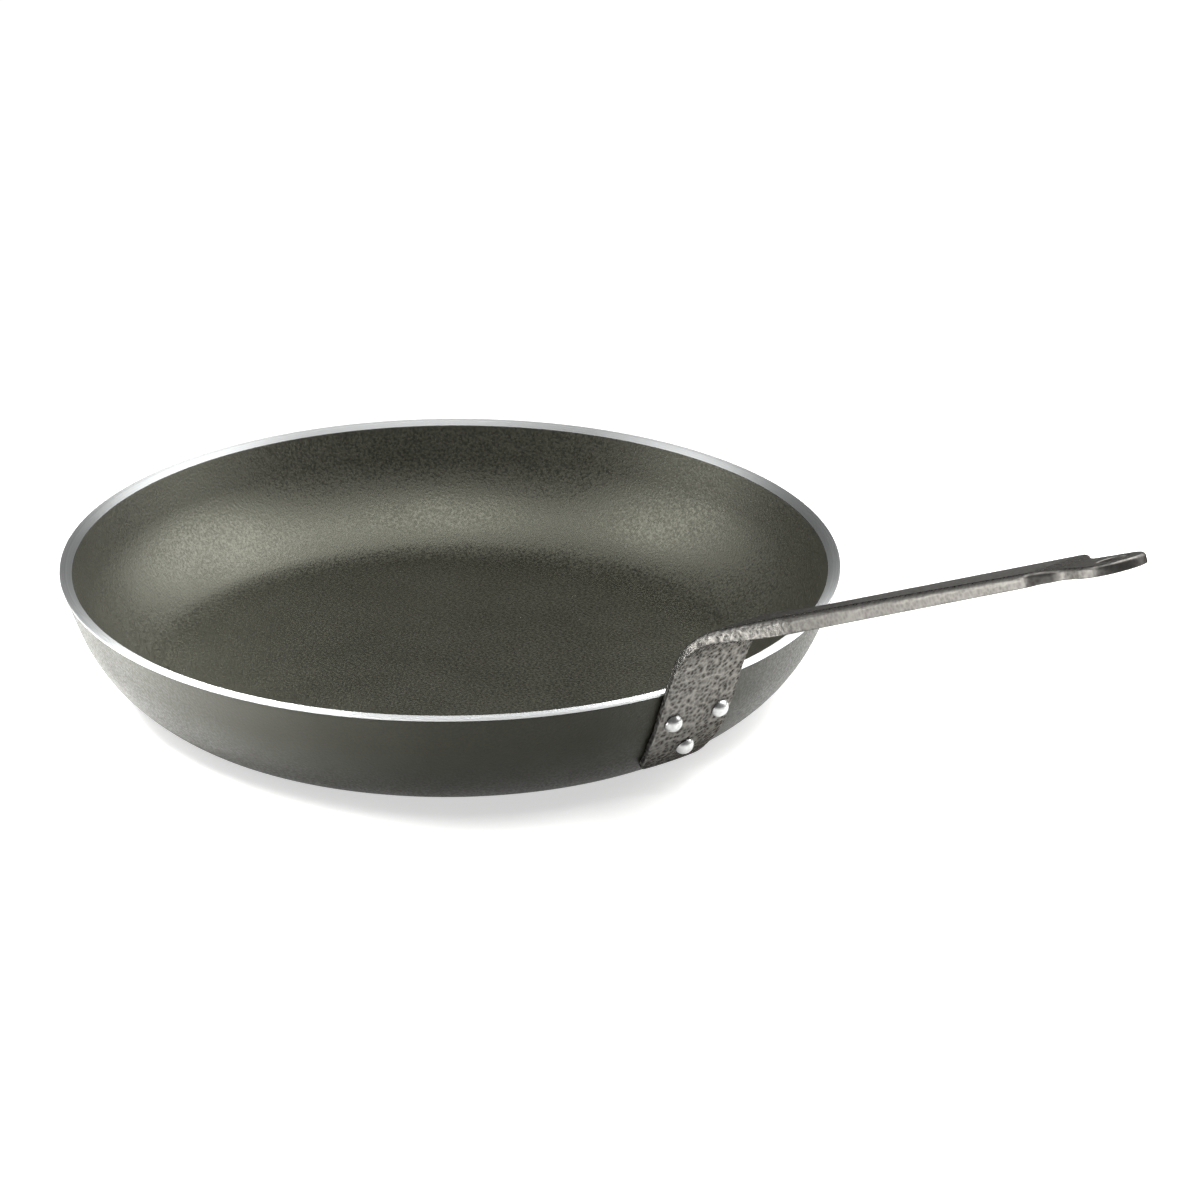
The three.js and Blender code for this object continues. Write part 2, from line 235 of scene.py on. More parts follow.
class PanSettings(bpy.types.PropertyGroup):
    """All the settings of the pan."""

    bowl: PointerProperty(type=BowlSettings)
    handle: PointerProperty(type=HandleSettings)
    rivets: PointerProperty(type=RivetSettings)
    stage: PointerProperty(type=StageSettings)


def smooth(share):
    """Eases from 0 to 1: three times the share squared less twice its cube, held outside."""
    share = np.clip(share, 0, 1)
    return share * share * (3 - 2 * share)


def mix(first, last, share):
    """The value at a share of the way from the first to the last."""
    return first + (last - first) * share


def quarter():
    """The angles of a quarter turn, as a column of rows."""
    return np.linspace(0, math.pi / 2, ARC_STEPS)[:, None]


def between():
    """Even shares of a flat stretch without its ends, as a column of rows."""
    return np.linspace(0, 1, FLAT_STEPS + 2)[1:-1, None]


def follow(start, stretches, along):
    """Places and directions at distances along a line of straight and round stretches.

    Each stretch is a length and a turn. On a straight one the place moves on by the distance. On a
    round one, of radius length over turn, it moves round the arc and the direction swings evenly.
    """
    x, z, tilt = (np.full(np.shape(along), value) for value in start)
    left = np.asarray(along, float)
    for length, turn in stretches:
        part = np.clip(left, 0, length)
        swing = turn * part / length
        if turn:
            radius = length / turn
            x = x + radius * (np.sin(tilt + swing) - np.sin(tilt))
            z = z + radius * (np.cos(tilt) - np.cos(tilt + swing))
        else:
            x = x + part * np.cos(tilt)
            z = z + part * np.sin(tilt)
        tilt = tilt + swing
        left = left - part
    return x, z, tilt


def wall_of(bowl):
    """The bowl's outside line: a heel arc, a wide sweep arc and a straight upper wall.

    The sweep's radius takes up the height that the heel and the upper wall leave, and the base's
    radius takes up the width.
    """
    top = bowl.height - bowl.rim_break
    heel_rise = bowl.heel_radius * (1 - math.cos(bowl.heel_angle))
    upper_rise = bowl.upper_wall_length * math.sin(bowl.upper_wall_angle)
    lean = math.cos(bowl.heel_angle) - math.cos(bowl.upper_wall_angle)
    sweep_radius = (top - heel_rise - upper_rise) / lean
    sweep_reach = sweep_radius * (math.sin(bowl.upper_wall_angle) - math.sin(bowl.heel_angle))
    upper_reach = bowl.upper_wall_length * math.cos(bowl.upper_wall_angle)
    heel_reach = bowl.heel_radius * math.sin(bowl.heel_angle)
    base_radius = bowl.rim_diameter / 2 - upper_reach - sweep_reach - heel_reach
    sweep_turn = bowl.upper_wall_angle - bowl.heel_angle
    stretches = [
        (bowl.heel_radius * bowl.heel_angle, bowl.heel_angle),
        (sweep_radius * sweep_turn, sweep_turn),
        (bowl.upper_wall_length, 0),
    ]
    return SimpleNamespace(
        start=(base_radius, 0, 0),
        stretches=stretches,
        heel=stretches[0][0],
        length=sum(length for length, _ in stretches),
        base_radius=base_radius,
        sweep_radius=sweep_radius,
    )


def wall_points(wall, along, depth):
    """Radius and height of points at distances up the outside line, set a depth into the wall."""
    x, z, tilt = follow(wall.start, wall.stretches, along)
    return np.stack((x - depth * np.sin(tilt), z + depth * np.cos(tilt)), axis=-1)


def wall_run(wall, low, high, depth):
    """Points of the wall at one depth, in even steps between two distances."""
    count = math.ceil((high - low) / WALL_STEP) + 1
    return wall_points(wall, np.linspace(low, high, count), depth)


def disc_run(radius, height):
    """Points of a level disc from its middle to its edge."""
    radii = np.linspace(0, radius, DISC_ROWS)
    return np.stack((radii, np.full(DISC_ROWS, height)), axis=-1)


def rounded(first, corner, last):
    """Points of a rounded corner: the parabola from first to last that is drawn towards the corner."""
    share = np.linspace(0, 1, ARC_STEPS)[:, None]
    return mix(mix(first, corner, share), mix(corner, last, share), share)


def rounded_edge(wall, first, corner, last):
    """A rounded edge of a coat, by places that are each a distance up the wall and a depth."""
    return rounded(*(wall_points(wall, along, depth) for along, depth in (first, corner, last)))


def coat_levels(bowl, wall):
    """How far up the wall the coats reach, and the depths that they lie at."""
    inner_drop = bowl.wall_thickness * math.cos(bowl.upper_wall_angle) - bowl.rim_break
    inner_top = wall.length - inner_drop / math.sin(bowl.upper_wall_angle)
    return SimpleNamespace(
        inner_top=inner_top,
        lining_top=inner_top - bowl.rim_bevel,
        coat_top=wall.length - bowl.bare_lip,
        lining_back=bowl.wall_thickness - bowl.lining_thickness,
    )


def body_profile(bowl):
    """Section of the bare bowl: base, heel, coat seat, lip, rounded rim, bevel, lining seat and floor."""
    wall = wall_of(bowl)
    levels = coat_levels(bowl, wall)
    coat_seat = bowl.coat_thickness + bowl.bond_gap
    lining_seat = levels.lining_back - bowl.bond_gap
    rim_radius = bowl.rim_diameter / 2
    inner_radius = wall_points(wall, levels.inner_top, bowl.wall_thickness)[0]
    bevel_top = np.array([inner_radius + bowl.rim_bevel, bowl.height])
    bevel_foot = wall_points(wall, levels.lining_top, bowl.wall_thickness)
    crown = mix(np.array([rim_radius - bowl.rim_break, bowl.height]), bevel_top, 0.5)
    rim_round = rounded(wall_points(wall, wall.length, 0), np.array([rim_radius, bowl.height]), crown)
    bevel_round = rounded(crown, bevel_top, bevel_foot)[1:]
    return np.concatenate((
        disc_run(wall.base_radius, 0)[:-1],
        wall_run(wall, 0, bowl.coat_start, 0),
        wall_run(wall, bowl.coat_start, levels.coat_top, coat_seat),
        wall_run(wall, levels.coat_top, wall.length, 0)[:-1],
        rim_round,
        bevel_round,
        wall_run(wall, 0, levels.lining_top, lining_seat)[::-1],
        disc_run(wall.base_radius, lining_seat)[-2::-1],
    ))


def lining_profile(bowl):
    """Section of the lining: its back against the metal, a rounded top edge and its open face."""
    wall = wall_of(bowl)
    levels = coat_levels(bowl, wall)
    top = levels.lining_top - bowl.bond_gap
    face = bowl.wall_thickness
    edge = bowl.lining_thickness / 2
    top_edge = rounded_edge(wall, (top, levels.lining_back), (top, face), (top - edge, face))
    return np.concatenate((
        disc_run(wall.base_radius, levels.lining_back)[:-1],
        wall_run(wall, 0, top, levels.lining_back)[:-1],
        top_edge,
        wall_run(wall, 0, top - 2 * edge, face)[::-1],
        disc_run(wall.base_radius, face)[-2::-1],
    ))


def coat_profile(bowl):
    """Section of the outer coat, closed on itself: its face up the wall and its back down again."""
    wall = wall_of(bowl)
    levels = coat_levels(bowl, wall)
    low = bowl.coat_start + bowl.bond_gap
    high = levels.coat_top - bowl.bond_gap
    edge = bowl.coat_thickness / 2
    back = bowl.coat_thickness
    low_edge = rounded_edge(wall, (low, back), (low, 0), (low + edge, 0))
    high_edge = rounded_edge(wall, (high - edge, 0), (high, 0), (high, back))
    return np.concatenate((
        low_edge,
        wall_run(wall, low + 2 * edge, high - 2 * edge, 0),
        high_edge,
        wall_run(wall, low, high, back)[-2:0:-1],
    ))


def turned(profile, steps):
    """A turned surface: each point of the profile goes round the axis in a circle of its radius."""
    turn = np.linspace(0, 2 * math.pi, steps, endpoint=False)
    radius = profile[:, :1]
    height = np.broadcast_to(profile[:, 1:], (len(profile), steps))
    return np.stack((radius * np.cos(turn), radius * np.sin(turn), height), axis=-1)


def handle_marks(bowl, handle):
    """Stations of the handle, as distances from its foot, and the side line that it follows."""
    wall = wall_of(bowl)
    bend_turn = bowl.upper_wall_angle - handle.grip_angle
    bend_length = handle.bend_radius * bend_turn
    foot = wall.heel + handle.foot_clear
    rim = wall.length - foot
    bend = rim + handle.rise_above_rim
    grip = bend + bend_length
    shoulder = grip + handle.grip_length
    waist = shoulder + handle.shoulder_to_waist
    eye = waist + handle.waist_to_eye
    tip = eye + handle.eye_radius
    line = wall.stretches + [
        (handle.rise_above_rim, 0),
        (bend_length, -bend_turn),
        (handle.grip_length, 0),
        (handle.dip_length, -handle.dip_turn),
        (handle.dip_length, handle.tail_angle - handle.grip_angle + handle.dip_turn),
        (tip - shoulder - 2 * handle.dip_length, 0),
    ]
    return SimpleNamespace(
        start=wall.start,
        line=line,
        foot=foot,
        rim=rim,
        bend=bend,
        grip=grip,
        neck=grip + handle.neck_run,
        shoulder=shoulder,
        waist=waist,
        eye=eye,
    )


def half_width(marks, handle, station):
    """Half the strip's width: foot, plate, neck, widening grip, waist and round eye, eased together."""
    side = mix(handle.foot_width, handle.plate_width, np.minimum(station / handle.foot_taper, 1)) / 2
    shortfall = np.maximum(handle.foot_corner - station, 0)
    plate = side - handle.foot_corner + np.sqrt(handle.foot_corner ** 2 - shortfall ** 2)
    bend_share = smooth((station - marks.bend) / (marks.neck - marks.bend))
    bend = mix(handle.plate_width, handle.neck_width, bend_share) / 2
    grip_share = (station - marks.neck) / (marks.shoulder - marks.neck)
    grip = mix(handle.neck_width, handle.grip_end_width, grip_share) / 2
    shoulder_share = smooth((station - marks.shoulder) / handle.shoulder_to_waist)
    shoulder = mix(handle.grip_end_width, handle.waist_width, shoulder_share) / 2
    eye_share = smooth((station - marks.waist) / handle.waist_to_eye)
    eye = mix(handle.waist_width / 2, handle.eye_radius, eye_share)
    starts = (marks.waist, marks.shoulder, marks.neck, marks.bend)
    places = [station >= start for start in starts]
    return np.select(places, [eye, shoulder, grip, bend], plate)


def strip_depth(marks, handle, station):
    """Depth over the turned-down edges, which start at the rim, are deepest at the neck and thin out."""
    tail_share = smooth((station - marks.shoulder) / handle.shoulder_to_waist)
    tail = mix(handle.grip_end_depth, handle.tail_depth, tail_share)
    grip_share = (station - marks.neck) / (marks.shoulder - marks.neck)
    grip = mix(handle.neck_depth, handle.grip_end_depth, grip_share)
    rise = smooth((station - marks.rim) / (marks.neck - marks.rim))
    rising = mix(handle.sheet_thickness, handle.neck_depth, rise)
    return np.select([station >= marks.shoulder, station >= marks.neck], [tail, grip], rising)


def bent(marks, handle, station, across, deep):
    """Places of the flat strip's points once it is bent along its side line.

    A point lies its depth square to the line. On the wall the strip also wraps round the bowl's
    axis: the distance across becomes an arc, whose curvature eases to nothing over the bend.
    """
    x, z, tilt = follow(marks.start, marks.line, marks.foot + station)
    out = handle.fit_gap + deep
    radius = x + out * np.sin(tilt)
    height = z - out * np.cos(tilt)
    flat = smooth((station - marks.rim) / (marks.grip - marks.rim))
    curve = np.maximum(1 - flat, 1e-9) / radius
    swing = curve * across
    return np.stack((radius - (1 - np.cos(swing)) / curve, np.sin(swing) / curve, height), axis=-1)


def handle_outline(marks, handle):
    """The strip's outline as a closed loop of stations and distances across.

    From the middle of the foot it runs along the foot, round the corner in an arc, up the side at
    the half width and round the eye in an arc. The other side mirrors it.
    """
    corner = handle.foot_corner
    foot_across = np.linspace(0, handle.foot_width / 2 - corner, FOOT_STEPS, endpoint=False)
    foot = np.stack((np.zeros_like(foot_across), foot_across), axis=-1)
    corner_stations = corner * (1 - np.cos(np.linspace(0, math.pi / 2, ARC_STEPS, endpoint=False)))
    side_count = math.ceil((marks.eye - corner) / OUTLINE_STEP)
    stations = np.concatenate((corner_stations, np.linspace(corner, marks.eye, side_count, endpoint=False)))
    side = np.stack((stations, half_width(marks, handle, stations)), axis=-1)
    eye_count = math.ceil(handle.eye_radius * math.pi / 2 / OUTLINE_STEP) + 1
    turn = np.linspace(math.pi / 2, 0, eye_count)
    eye = np.stack((marks.eye + handle.eye_radius * np.cos(turn), handle.eye_radius * np.sin(turn)), axis=-1)
    right = np.concatenate((foot, side, eye))
    right[-1, 1] = 0
    return np.concatenate((right, right[-2:0:-1] * (1, -1)))


def handle_core(marks, handle, outline):
    """Where the strip's faces end inside the outline: on the middle line, or on the hole in the eye.

    Points round the eye go to the ring of the hole by their angle, spread to a full turn. The
    others go to the middle line at their own station, drawn out to meet the ring.
    """
    ring_radius = handle.eye_hole_diameter / 2 + handle.edge_break
    station, across = outline.T
    turn = np.arctan2(across, station - marks.eye)
    at_eye = np.abs(turn) < EYE_TURN
    widest = np.abs(turn[at_eye]).max()
    ring_turn = turn * math.pi / widest
    ring = np.stack((marks.eye + ring_radius * np.cos(ring_turn), ring_radius * np.sin(ring_turn)), axis=-1)
    start = handle.foot_width / 2
    reach = (marks.eye - ring_radius - start) / (station[at_eye].min() - start)
    middle = np.stack((start + np.maximum(station - start, 0) * reach, np.zeros_like(station)), axis=-1)
    return np.where(at_eye[:, None], ring, middle), ring_turn[at_eye]


def handle_patches(bowl, handle):
    """The pressed strip as one surface whose rows are loops round it, and the wall of its hole.

    Each loop is the outline set inwards and deep: from the core over the top face, round the fold,
    down the turned edge, round its rim, up its inside and back under the sheet to the core.
    """
    marks = handle_marks(bowl, handle)
    outline = handle_outline(marks, handle)
    core, ring_turn = handle_core(marks, handle, outline)
    run = np.roll(outline, -1, axis=0) - np.roll(outline, 1, axis=0)
    run /= np.linalg.norm(run, axis=1, keepdims=True)
    outward = np.stack((-run[:, 1], run[:, 0]), axis=-1)

    sheet = handle.sheet_thickness
    edge = handle.edge_break
    depth = strip_depth(marks, handle, outline[:, 0])
    turned_down = np.minimum((depth - sheet) / (handle.neck_depth - sheet), 1)
    fold = mix(edge, handle.fold_radius, turned_down)
    inner_edge = np.minimum(edge, (depth - sheet) / 2)
    hollow = np.minimum(handle.fold_hollow, (depth - sheet) / 2)
    bow, flat = quarter(), between()
    still = np.zeros_like(depth)
    section = [
        (fold * (1 - np.sin(bow)), fold * (1 - np.cos(bow))),
        (still * flat, mix(fold, depth - edge, flat)),
        (still + edge * (1 - np.cos(bow)), depth - edge * (1 - np.sin(bow))),
        (mix(edge, sheet - inner_edge, flat), depth + 0 * flat),
        (sheet - inner_edge * (1 - np.sin(bow)), depth - inner_edge * (1 - np.cos(bow))),
        (sheet + still * flat, mix(depth - inner_edge, sheet + hollow, flat)),
        (sheet + hollow * (1 - np.cos(bow)), sheet + hollow * (1 - np.sin(bow))),
    ]
    inset = np.concatenate([rows for rows, _ in section])
    section_deep = np.concatenate([rows for _, rows in section])
    section_plan = outline - outward * inset[..., None]
    shares = SUPPORT_SHARES[:, None, None]
    top_plan = mix(core, section_plan[0], shares)
    under_plan = mix(core, section_plan[-1], shares[::-1])
    flat_face = np.zeros((len(shares), len(outline)))
    plan = np.concatenate((top_plan, section_plan, under_plan))
    deep = np.concatenate((flat_face, section_deep, flat_face + sheet))
    strip = bent(marks, handle, plan[..., 0], plan[..., 1], deep)

    hole = handle.eye_hole_diameter / 2
    hole_radius = np.concatenate((
        hole + edge * (1 - np.sin(bow)), hole + 0 * flat, hole + edge * (1 - np.cos(bow))
    ))
    hole_deep = np.concatenate((
        edge * (1 - np.cos(bow)), mix(edge, sheet - edge, flat), sheet - edge * (1 - np.sin(bow))
    ))
    hole_station = marks.eye + hole_radius * np.cos(ring_turn)
    hole_wall = bent(marks, handle, hole_station, hole_radius * np.sin(ring_turn), hole_deep + 0 * ring_turn)
    return [(strip, False, True), (hole_wall, False, False)]


def dome_run(diameter, height, seat, way):
    """Points of a domed head from its edge to its crown, on a sphere through both."""
    radius = diameter / 2
    ball = (radius ** 2 + height ** 2) / (2 * height)
    tilt = np.linspace(math.atan2(radius, ball - height), 0, 3 * ARC_STEPS)
    return np.stack((ball * np.sin(tilt), seat + way * (ball * np.cos(tilt) - ball + height)), axis=-1)


def rivet_profile(bowl, handle, rivets):
    """Section of a rivet along its own axis, with the bowl's outside at zero: head, shank and head."""
    wall = wall_of(bowl)
    hollow = (rivets.inner_head_diameter / 2) ** 2 / (2 * wall.sweep_radius)
    inner_seat = -bowl.wall_thickness - handle.fit_gap - hollow
    outer_seat = 2 * handle.fit_gap + handle.sheet_thickness
    shank = rivets.shank_diameter / 2
    return np.concatenate((
        dome_run(rivets.inner_head_diameter, rivets.inner_head_height, inner_seat, -1)[::-1],
        [[shank, inner_seat], [shank, outer_seat]],
        dome_run(rivets.head_diameter, rivets.head_height, outer_seat, 1),
    ))


def rivet_places(bowl, handle, rivets):
    """Each rivet's distance up the wall and distance round it, by its node's name."""
    wall = wall_of(bowl)
    upper = wall.length - rivets.upper_drop
    lower = wall.heel + handle.foot_clear + rivets.lower_rise
    side = handle.plate_width / 2 - rivets.edge
    return {
        "rivet_upper_left": (upper, -side),
        "rivet_upper_right": (upper, side),
        "rivet_lower": (lower, 0),
    }


def set_in_wall(surface, wall, along, across):
    """A surface along +Z stood square to the wall: tilted to the wall, moved out and swung round."""
    x, z, tilt = (float(value) for value in follow(wall.start, wall.stretches, along))
    swing = Matrix.Rotation(across / x, 4, "Z")
    lean = Matrix.Rotation(math.pi - tilt, 4, "Y")
    matrix = np.array(swing @ Matrix.Translation((x, 0, z)) @ lean)
    return surface @ matrix[:3, :3].T + matrix[:3, 3]


def patch_quads(rows, columns, wrap_rows, wrap_columns):
    """The corners of every four-sided face of a grid, closed round where it wraps."""
    row = np.arange(rows if wrap_rows else rows - 1)[:, None]
    column = np.arange(columns if wrap_columns else columns - 1)[None, :]
    next_row = (row + 1) % rows
    next_column = (column + 1) % columns
    corners = (
        row * columns + column,
        row * columns + next_column,
        next_row * columns + next_column,
        next_row * columns + column,
    )
    return np.stack(corners, axis=-1).reshape(-1, 4)


def make_piece(name, patches, material, node):
    """One closed piece from grids of points, which stands for a node and rides on the part."""
    points, quads = [], []
    first = 0
    for grid, wrap_rows, wrap_columns in patches:
        rows, columns = grid.shape[:2]
        points.append(grid.reshape(-1, 3))
        quads.append(patch_quads(rows, columns, wrap_rows, wrap_columns) + first)
        first += rows * columns
    mesh = bpy.data.meshes.new(name)
    mesh.from_pydata(np.concatenate(points).tolist(), [], np.concatenate(quads).tolist())
    shell = bmesh.new()
    shell.from_mesh(mesh)
    bmesh.ops.remove_doubles(shell, verts=shell.verts, dist=WELD)
    bmesh.ops.dissolve_degenerate(shell, edges=shell.edges, dist=WELD)
    bmesh.ops.recalc_face_normals(shell, faces=shell.faces)
    open_edges = sum(not edge.is_manifold for edge in shell.edges)
    shell.to_mesh(mesh)
    shell.free()
    if open_edges:
        raise RuntimeError(f"{name} isn't closed: {open_edges} open edges")
    mesh.shade_smooth()
    mesh.set_sharp_from_angle(angle=SHARP_ANGLE)
    mesh.materials.append(material)
    piece = bpy.data.objects.new(name, mesh)
    bpy.context.scene.collection.objects.link(piece)
    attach(piece, "root")
    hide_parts(node)
    return piece


def add(tree, kind, inputs=None, **settings):
    """Adds a node to a tree, with its settings and with its inputs set or linked."""
    node = tree.nodes.new(kind)
    for name, value in settings.items():
        setattr(node, name, value)
    for key, value in (inputs or {}).items():
        if isinstance(value, bpy.types.NodeSocket):
            tree.links.new(value, node.inputs[key])
        else:
            node.inputs[key].default_value = value
    return node


def opaque(rgb):
    """A colour with full cover."""
    return (*rgb, 1)


def new_material(name):
    """An empty material: its tree and the Object coordinates, in metres."""
    material = bpy.data.materials.new(name)
    material.use_nodes = True
    tree = material.node_tree
    tree.nodes.clear()
    place = add(tree, "ShaderNodeTexCoord").outputs["Object"]
    return material, tree, place


def finish_material(tree, inputs):
    """Ends a material in a Principled shader with the given inputs."""
    shader = add(tree, "ShaderNodeBsdfPrincipled", inputs)
    add(tree, "ShaderNodeOutputMaterial", {"Surface": shader.outputs[0]})


def noise(tree, place, size, detail=2):
    """The outputs of a noise whose features are about the given size."""
    return add(tree, "ShaderNodeTexNoise", {"Vector": place, "Scale": 1 / size, "Detail": detail}).outputs


def remap(tree, value, low, high, to_low=0, to_high=1):
    """A value brought from one range to another and held at its ends."""
    return add(tree, "ShaderNodeMapRange", {
        "Value": value, "From Min": low, "From Max": high, "To Min": to_low, "To Max": to_high,
    }).outputs[0]


def blend(tree, share, first, last):
    """A colour that runs from the first to the last by a share."""
    inputs = {0: share, 6: opaque(first), 7: opaque(last)}
    return add(tree, "ShaderNodeMix", inputs, data_type="RGBA").outputs[2]


def bumped(tree, height, depth, strength):
    """The normal of a surface whose bumps have a height map and a depth."""
    inputs = {"Height": height, "Distance": depth, "Strength": strength}
    return add(tree, "ShaderNodeBump", inputs).outputs[0]


def sprayed_coating(name, base, fleck, roughness, gloss_values):
    """A coating sprayed on in a fine mist: a dark ground, pale flecks and a low grain that breaks the gloss.

    The grain and the flecks are about 1.1 mm across, with clouds of 30 mm in the gloss. The grain of a
    real coating is finer and wouldn't show in the render.
    """
    material, tree, place = new_material(name)
    grain = noise(tree, place, COAT_GRAIN)[0]
    cloud = noise(tree, place, COAT_CLOUD)[0]
    shade = blend(tree, remap(tree, grain, 0.35, 0.65), base, fleck)
    speckle = remap(tree, grain, 0.35, 0.65, roughness - 0.11, roughness + 0.09)
    drift = remap(tree, cloud, 0.3, 0.7, -0.03, 0.03)
    gloss = add(tree, "ShaderNodeMath", {0: speckle, 1: drift}, operation="ADD").outputs[0]
    normal = bumped(tree, grain, COAT_GRAIN_DEPTH, 1.0)
    finish_material(tree, {"Base Color": shade, "Roughness": gloss, "Normal": normal, **gloss_values})
    return material


def nonstick_lining(bowl):
    """Fluoropolymer lining filled with mineral flake: dark olive grey, glossier than bare plastic."""
    return sprayed_coating("nonstick_lining", bowl.lining_colour, bowl.lining_fleck_colour, 0.47, {
        "IOR": 1.95, "Specular Tint": (1, 1, 0.82, 1),
    })


def grey_outer_coat(bowl):
    """Fluoropolymer coat on the outside: the same olive grey with less flake, so a plainer plastic gloss."""
    return sprayed_coating("grey_outer_coat", bowl.coat_colour, bowl.coat_fleck_colour, 0.48, {
        "IOR": 1.36, "Specular Tint": (1, 1, 0.82, 1),
    })


def turned_aluminium(bowl):
    """Aluminium turned on a lathe: bright, with rings left by the tool round the bowl's axis.

    The rings spread a reflection across them and not along them, so the rim is bright in front and
    behind and greyer at the sides. A real feed mark is about 0.2 mm wide. It is drawn 0.7 mm wide, so
    that it shows.
    """
    material, tree, place = new_material("turned_aluminium")
    level = add(tree, "ShaderNodeVectorMath", {0: place, 1: (1, 1, 0)}, operation="MULTIPLY")
    radius = add(tree, "ShaderNodeVectorMath", {0: level.outputs[0]}, operation="LENGTH").outputs["Value"]
    inputs = {"W": radius, "Scale": 1 / TURNING_MARK, "Detail": 2}
    rings = add(tree, "ShaderNodeTexNoise", inputs, noise_dimensions="1D").outputs[0]
    dull = tuple(0.84 * value for value in bowl.metal_colour)
    shade = blend(tree, remap(tree, rings, 0.3, 0.7), dull, bowl.metal_colour)
    gloss = remap(tree, rings, 0, 1, 0.64, 0.55)
    normal = bumped(tree, rings, TURNING_DEPTH, 0.5)
    round_axis = add(tree, "ShaderNodeTangent", direction_type="RADIAL", axis="Z")
    finish_material(tree, {
        "Base Color": shade, "Metallic": 1.0, "Roughness": gloss, "Normal": normal,
        "Anisotropic": 0.86, "Anisotropic Rotation": 0.25, "Tangent": round_axis.outputs[0],
    })
    return material


def hammered_enamel(handle):
    """Stoved hammer paint on steel: painted shade in its pits and painted light on the ridges between them.

    The pits are about 1.9 mm apart and 0.14 mm deep on the plate and fade out along the grip, where
    their painted shade and the ridges' painted light ease to an even grey. They are warped over 7 mm,
    so that no rows show.
    """
    material, tree, place = new_material("hammered_enamel")
    warp = noise(tree, place, PAINT_WARP, 1)["Color"]
    half = (0.5, 0.5, 0.5)
    centred = add(tree, "ShaderNodeVectorMath", {0: warp, 1: half}, operation="SUBTRACT").outputs[0]
    shift = add(tree, "ShaderNodeVectorMath", {0: centred, 3: PAINT_SHIFT}, operation="SCALE").outputs[0]
    warped = add(tree, "ShaderNodeVectorMath", {0: place, 1: shift}, operation="ADD").outputs[0]
    inputs = {"Vector": warped, "Scale": 1 / PAINT_PIT, "Smoothness": 0.25}
    pits = add(tree, "ShaderNodeTexVoronoi", inputs, feature="SMOOTH_F1").outputs["Distance"]
    height = remap(tree, pits, 0.12, 0.8)
    mottle = remap(tree, noise(tree, place, PAINT_MOTTLE)[0], 0, 1, 0.75, 1.25)
    inputs = {0: height, 1: mottle}
    share = add(tree, "ShaderNodeMath", inputs, operation="MULTIPLY", use_clamp=True).outputs[0]
    reach = add(tree, "ShaderNodeSeparateXYZ", {0: place}).outputs["X"]
    # Pit depth, and how strong the pits' painted shade and the ridges' painted light are: full on the plate,
    # easing to an even grey along the grip.
    depth = remap(tree, reach, PITS_AND_PAINTED_SHADE_FULL_TO, PITS_AND_PAINTED_SHADE_FADED_FROM, 1.0, 0.4)
    level = add(tree, "ShaderNodeMix", {0: depth, 2: 0.56, 3: share}).outputs[0]
    # Painted shade in the pits and painted light on the ridges, mixed by the pits' height.
    shade = blend(tree, level, handle.pit_shade_colour, handle.paint_and_ridge_light_colour)
    gloss = remap(tree, height, 0, 1, 0.5, 0.4)
    normal = bumped(tree, height, PAINT_PIT_DEPTH, depth)
    finish_material(tree, {
        "Base Color": shade, "Metallic": 1.0, "Roughness": gloss, "Normal": normal,
        "Specular Tint": (0.05, 0.05, 0.05, 1),
    })
    return material


def upset_aluminium(rivets):
    """Soft aluminium upset by a riveting tool: bright, with faint dents about 2 mm across."""
    material, tree, place = new_material("upset_aluminium")
    dents = noise(tree, place, RIVET_DENT)[0]
    dull = tuple(0.8 * value for value in rivets.metal_colour)
    shade = blend(tree, remap(tree, dents, 0.3, 0.7), dull, rivets.metal_colour)
    gloss = remap(tree, dents, 0, 1, 0.46, 0.32)
    normal = bumped(tree, dents, RIVET_DENT_DEPTH, 0.5)
    finish_material(tree, {"Base Color": shade, "Metallic": 1.0, "Roughness": gloss, "Normal": normal})
    return material


def seen_white(tree):
    """1 for a ray from the camera or off a glossy surface, which see the white studio, and 0 for others."""
    path = add(tree, "ShaderNodeLightPath").outputs
    glossy = add(tree, "ShaderNodeMath", {
        0: path["Is Glossy Ray"], 1: path["Is Transmission Ray"],
    }, operation="MAXIMUM")
    return add(tree, "ShaderNodeMath", {
        0: path["Is Camera Ray"], 1: glossy.outputs[0],
    }, operation="MAXIMUM").outputs[0]


def studio_floor(stage):
    """Matt pale floor that still takes a shadow, lifted to white where it is seen."""
    material, tree, _ = new_material("studio_floor")
    lift = add(tree, "ShaderNodeMath", {0: seen_white(tree), 1: stage.floor_lift}, operation="MULTIPLY")
    matt = add(tree, "ShaderNodeBsdfDiffuse", {"Color": opaque(stage.floor_colour)})
    glow = add(tree, "ShaderNodeEmission", {"Strength": lift.outputs[0]})
    both = add(tree, "ShaderNodeAddShader", {0: matt.outputs[0], 1: glow.outputs[0]})
    add(tree, "ShaderNodeOutputMaterial", {"Surface": both.outputs[0]})
    return material


def make_floor(stage):
    """A level square floor under the base: two parameters run along X and Y."""
    line = np.linspace(-FLOOR_HALF, FLOOR_HALF, 3)
    along, across = np.meshgrid(line, line)
    points = np.stack((along, across, np.zeros_like(along)), axis=-1)
    mesh = bpy.data.meshes.new("studio_floor")
    mesh.from_pydata(points.reshape(-1, 3).tolist(), [], patch_quads(3, 3, False, False).tolist())
    mesh.materials.append(studio_floor(stage))
    floor = bpy.data.objects.new("studio_floor", mesh)
    bpy.context.scene.collection.objects.link(floor)


def view_axes(stage):
    """The camera's right, up and forward directions."""
    azimuth, elevation = stage.view_azimuth, stage.view_elevation
    forward = Vector((
        -math.sin(azimuth) * math.cos(elevation),
        math.cos(azimuth) * math.cos(elevation),
        -math.sin(elevation),
    ))
    right = Vector((math.cos(azimuth), math.sin(azimuth), 0))
    return right, right.cross(forward), forward


